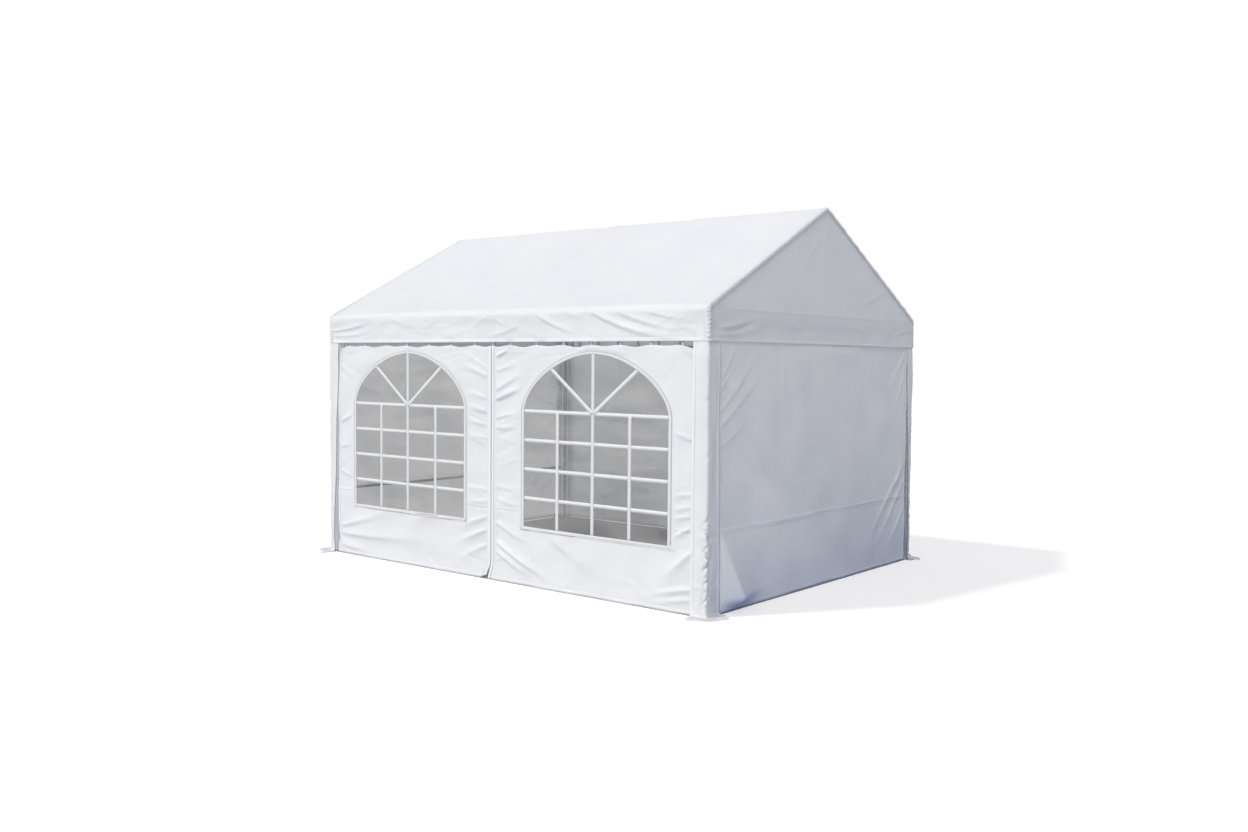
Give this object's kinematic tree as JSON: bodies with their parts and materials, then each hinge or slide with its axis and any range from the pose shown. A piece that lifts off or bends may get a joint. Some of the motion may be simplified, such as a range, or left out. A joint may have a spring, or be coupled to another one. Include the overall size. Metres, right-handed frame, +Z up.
{
  "type": "marquee tent",
  "caption": "Gabled marquee tent: a steel tube frame under a white cloth roof and walls, with arched windows of clear film along its front.",
  "frame": {"origin": "on the ground, at the middle of the tent", "axes": "+X along the tent from its left end to its right end as seen from the windows, -Y towards the windows, +Z up"},
  "size_m": [4.239, 3.2834, 2.825],
  "materials": {
    "galvanised_steel": "dull galvanised",
    "white_cloth": "coated woven tarpaulin, satin",
    "clear_film": "clear soft film, glossy"
  },
  "bodies": {
    "root": {"leg_front_left": "galvanised_steel", "eave_connector_front_left": "galvanised_steel", "rafter_front_left": "galvanised_steel", "leg_front_middle": "galvanised_steel", "eave_connector_front_middle": "galvanised_steel", "rafter_front_middle": "galvanised_steel", "leg_front_right": "galvanised_steel", "eave_connector_front_right": "galvanised_steel", "rafter_front_right": "galvanised_steel", "leg_back_left": "galvanised_steel", "eave_connector_back_left": "galvanised_steel", "rafter_back_left": "galvanised_steel", "leg_back_middle": "galvanised_steel", "eave_connector_back_middle": "galvanised_steel", "rafter_back_middle": "galvanised_steel", "leg_back_right": "galvanised_steel", "eave_connector_back_right": "galvanised_steel", "rafter_back_right": "galvanised_steel", "ridge_connector_left": "galvanised_steel", "ridge_connector_middle": "galvanised_steel", "ridge_connector_right": "galvanised_steel", "ridge_bar_left": "galvanised_steel", "gable_tie_bar_left": "galvanised_steel", "eave_bar_front_left": "galvanised_steel", "front_panel_left": "white_cloth", "corner_cover_front_left": "white_cloth", "eave_bar_back_left": "galvanised_steel", "back_panel_left": "white_cloth", "corner_cover_back_left": "white_cloth", "gable_triangle_left": "white_cloth", "gable_valance_left": "white_cloth", "end_wall_left": "white_cloth", "window_film_left": "clear_film", "ridge_bar_right": "galvanised_steel", "gable_tie_bar_right": "galvanised_steel", "eave_bar_front_right": "galvanised_steel", "front_panel_right": "white_cloth", "corner_cover_front_right": "white_cloth", "eave_bar_back_right": "galvanised_steel", "back_panel_right": "white_cloth", "corner_cover_back_right": "white_cloth", "gable_triangle_right": "white_cloth", "gable_valance_right": "white_cloth", "end_wall_right": "white_cloth", "window_film_right": "clear_film", "roof_cover": "white_cloth"}
  },
  "joints": []
}
